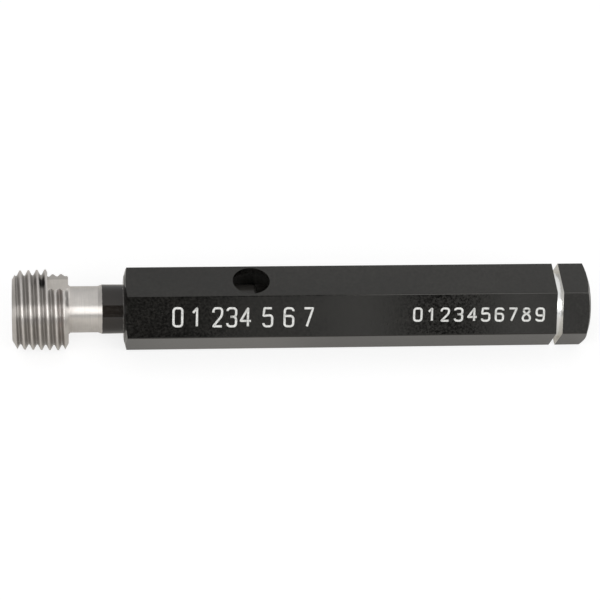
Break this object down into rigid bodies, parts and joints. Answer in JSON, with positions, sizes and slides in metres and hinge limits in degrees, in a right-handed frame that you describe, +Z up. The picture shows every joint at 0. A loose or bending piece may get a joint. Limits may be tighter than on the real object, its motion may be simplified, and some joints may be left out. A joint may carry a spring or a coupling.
{
  "type": "taper thread plug gauge",
  "caption": "Plug gauge with a taper thread, a gauging step and a bright neck, its taper shank held in a black hexagonal handle with a drift hole and a ring groove.",
  "frame": {"origin": "on the gauge's axis in the gauge plane, which lies 7.35 mm behind the plug's tip", "axes": "+X along the axis from the plug's tip to the rear of the handle, +Z up and square to the flat that holds the drift hole's upper end, so the handle lies on the opposite flat"},
  "size_m": [0.0939, 0.0138, 0.0131],
  "materials": {
    "gauge_steel": "ground and lapped tool steel",
    "black_anodised": "satin black anodised"
  },
  "bodies": {
    "root": {"thread_plug": "gauge_steel", "handle": "black_anodised"}
  },
  "joints": []
}
